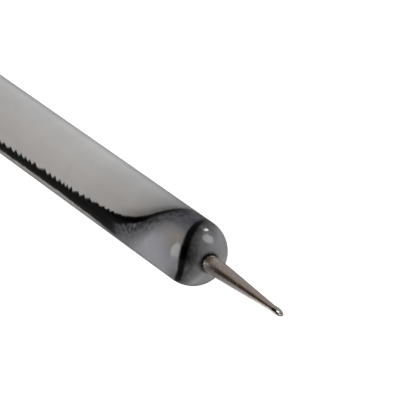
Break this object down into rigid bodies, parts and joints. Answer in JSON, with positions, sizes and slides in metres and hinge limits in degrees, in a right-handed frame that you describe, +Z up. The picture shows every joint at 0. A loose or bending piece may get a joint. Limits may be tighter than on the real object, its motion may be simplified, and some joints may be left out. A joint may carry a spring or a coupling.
{
  "type": "two-ended stylus",
  "caption": "Slim two-ended hand stylus: round-ended marbled handle, tapered metal points, one with a slot-shaped eye and one with a small ball.",
  "frame": {"origin": "on the tool's axis, at the middle of the handle and of the whole length", "axes": "+X along the tool towards the eyed end, +Z up"},
  "size_m": [0.125, 0.008, 0.008],
  "materials": {
    "handle_acrylic": "polished acrylic, marbled in pearl grey, smoke and black",
    "ferrule_metal": "turned, nickel plated, bright",
    "point_steel": "turned, nickel plated, bright",
    "adhesive": "cured clear epoxy"
  },
  "bodies": {
    "root": {"handle": "handle_acrylic", "front_ferrule": "ferrule_metal", "rear_ferrule": "ferrule_metal", "front_bond": "adhesive", "rear_bond": "adhesive", "eye_needle": "point_steel", "ball_stem": "point_steel", "tip_ball": "point_steel"}
  },
  "joints": []
}
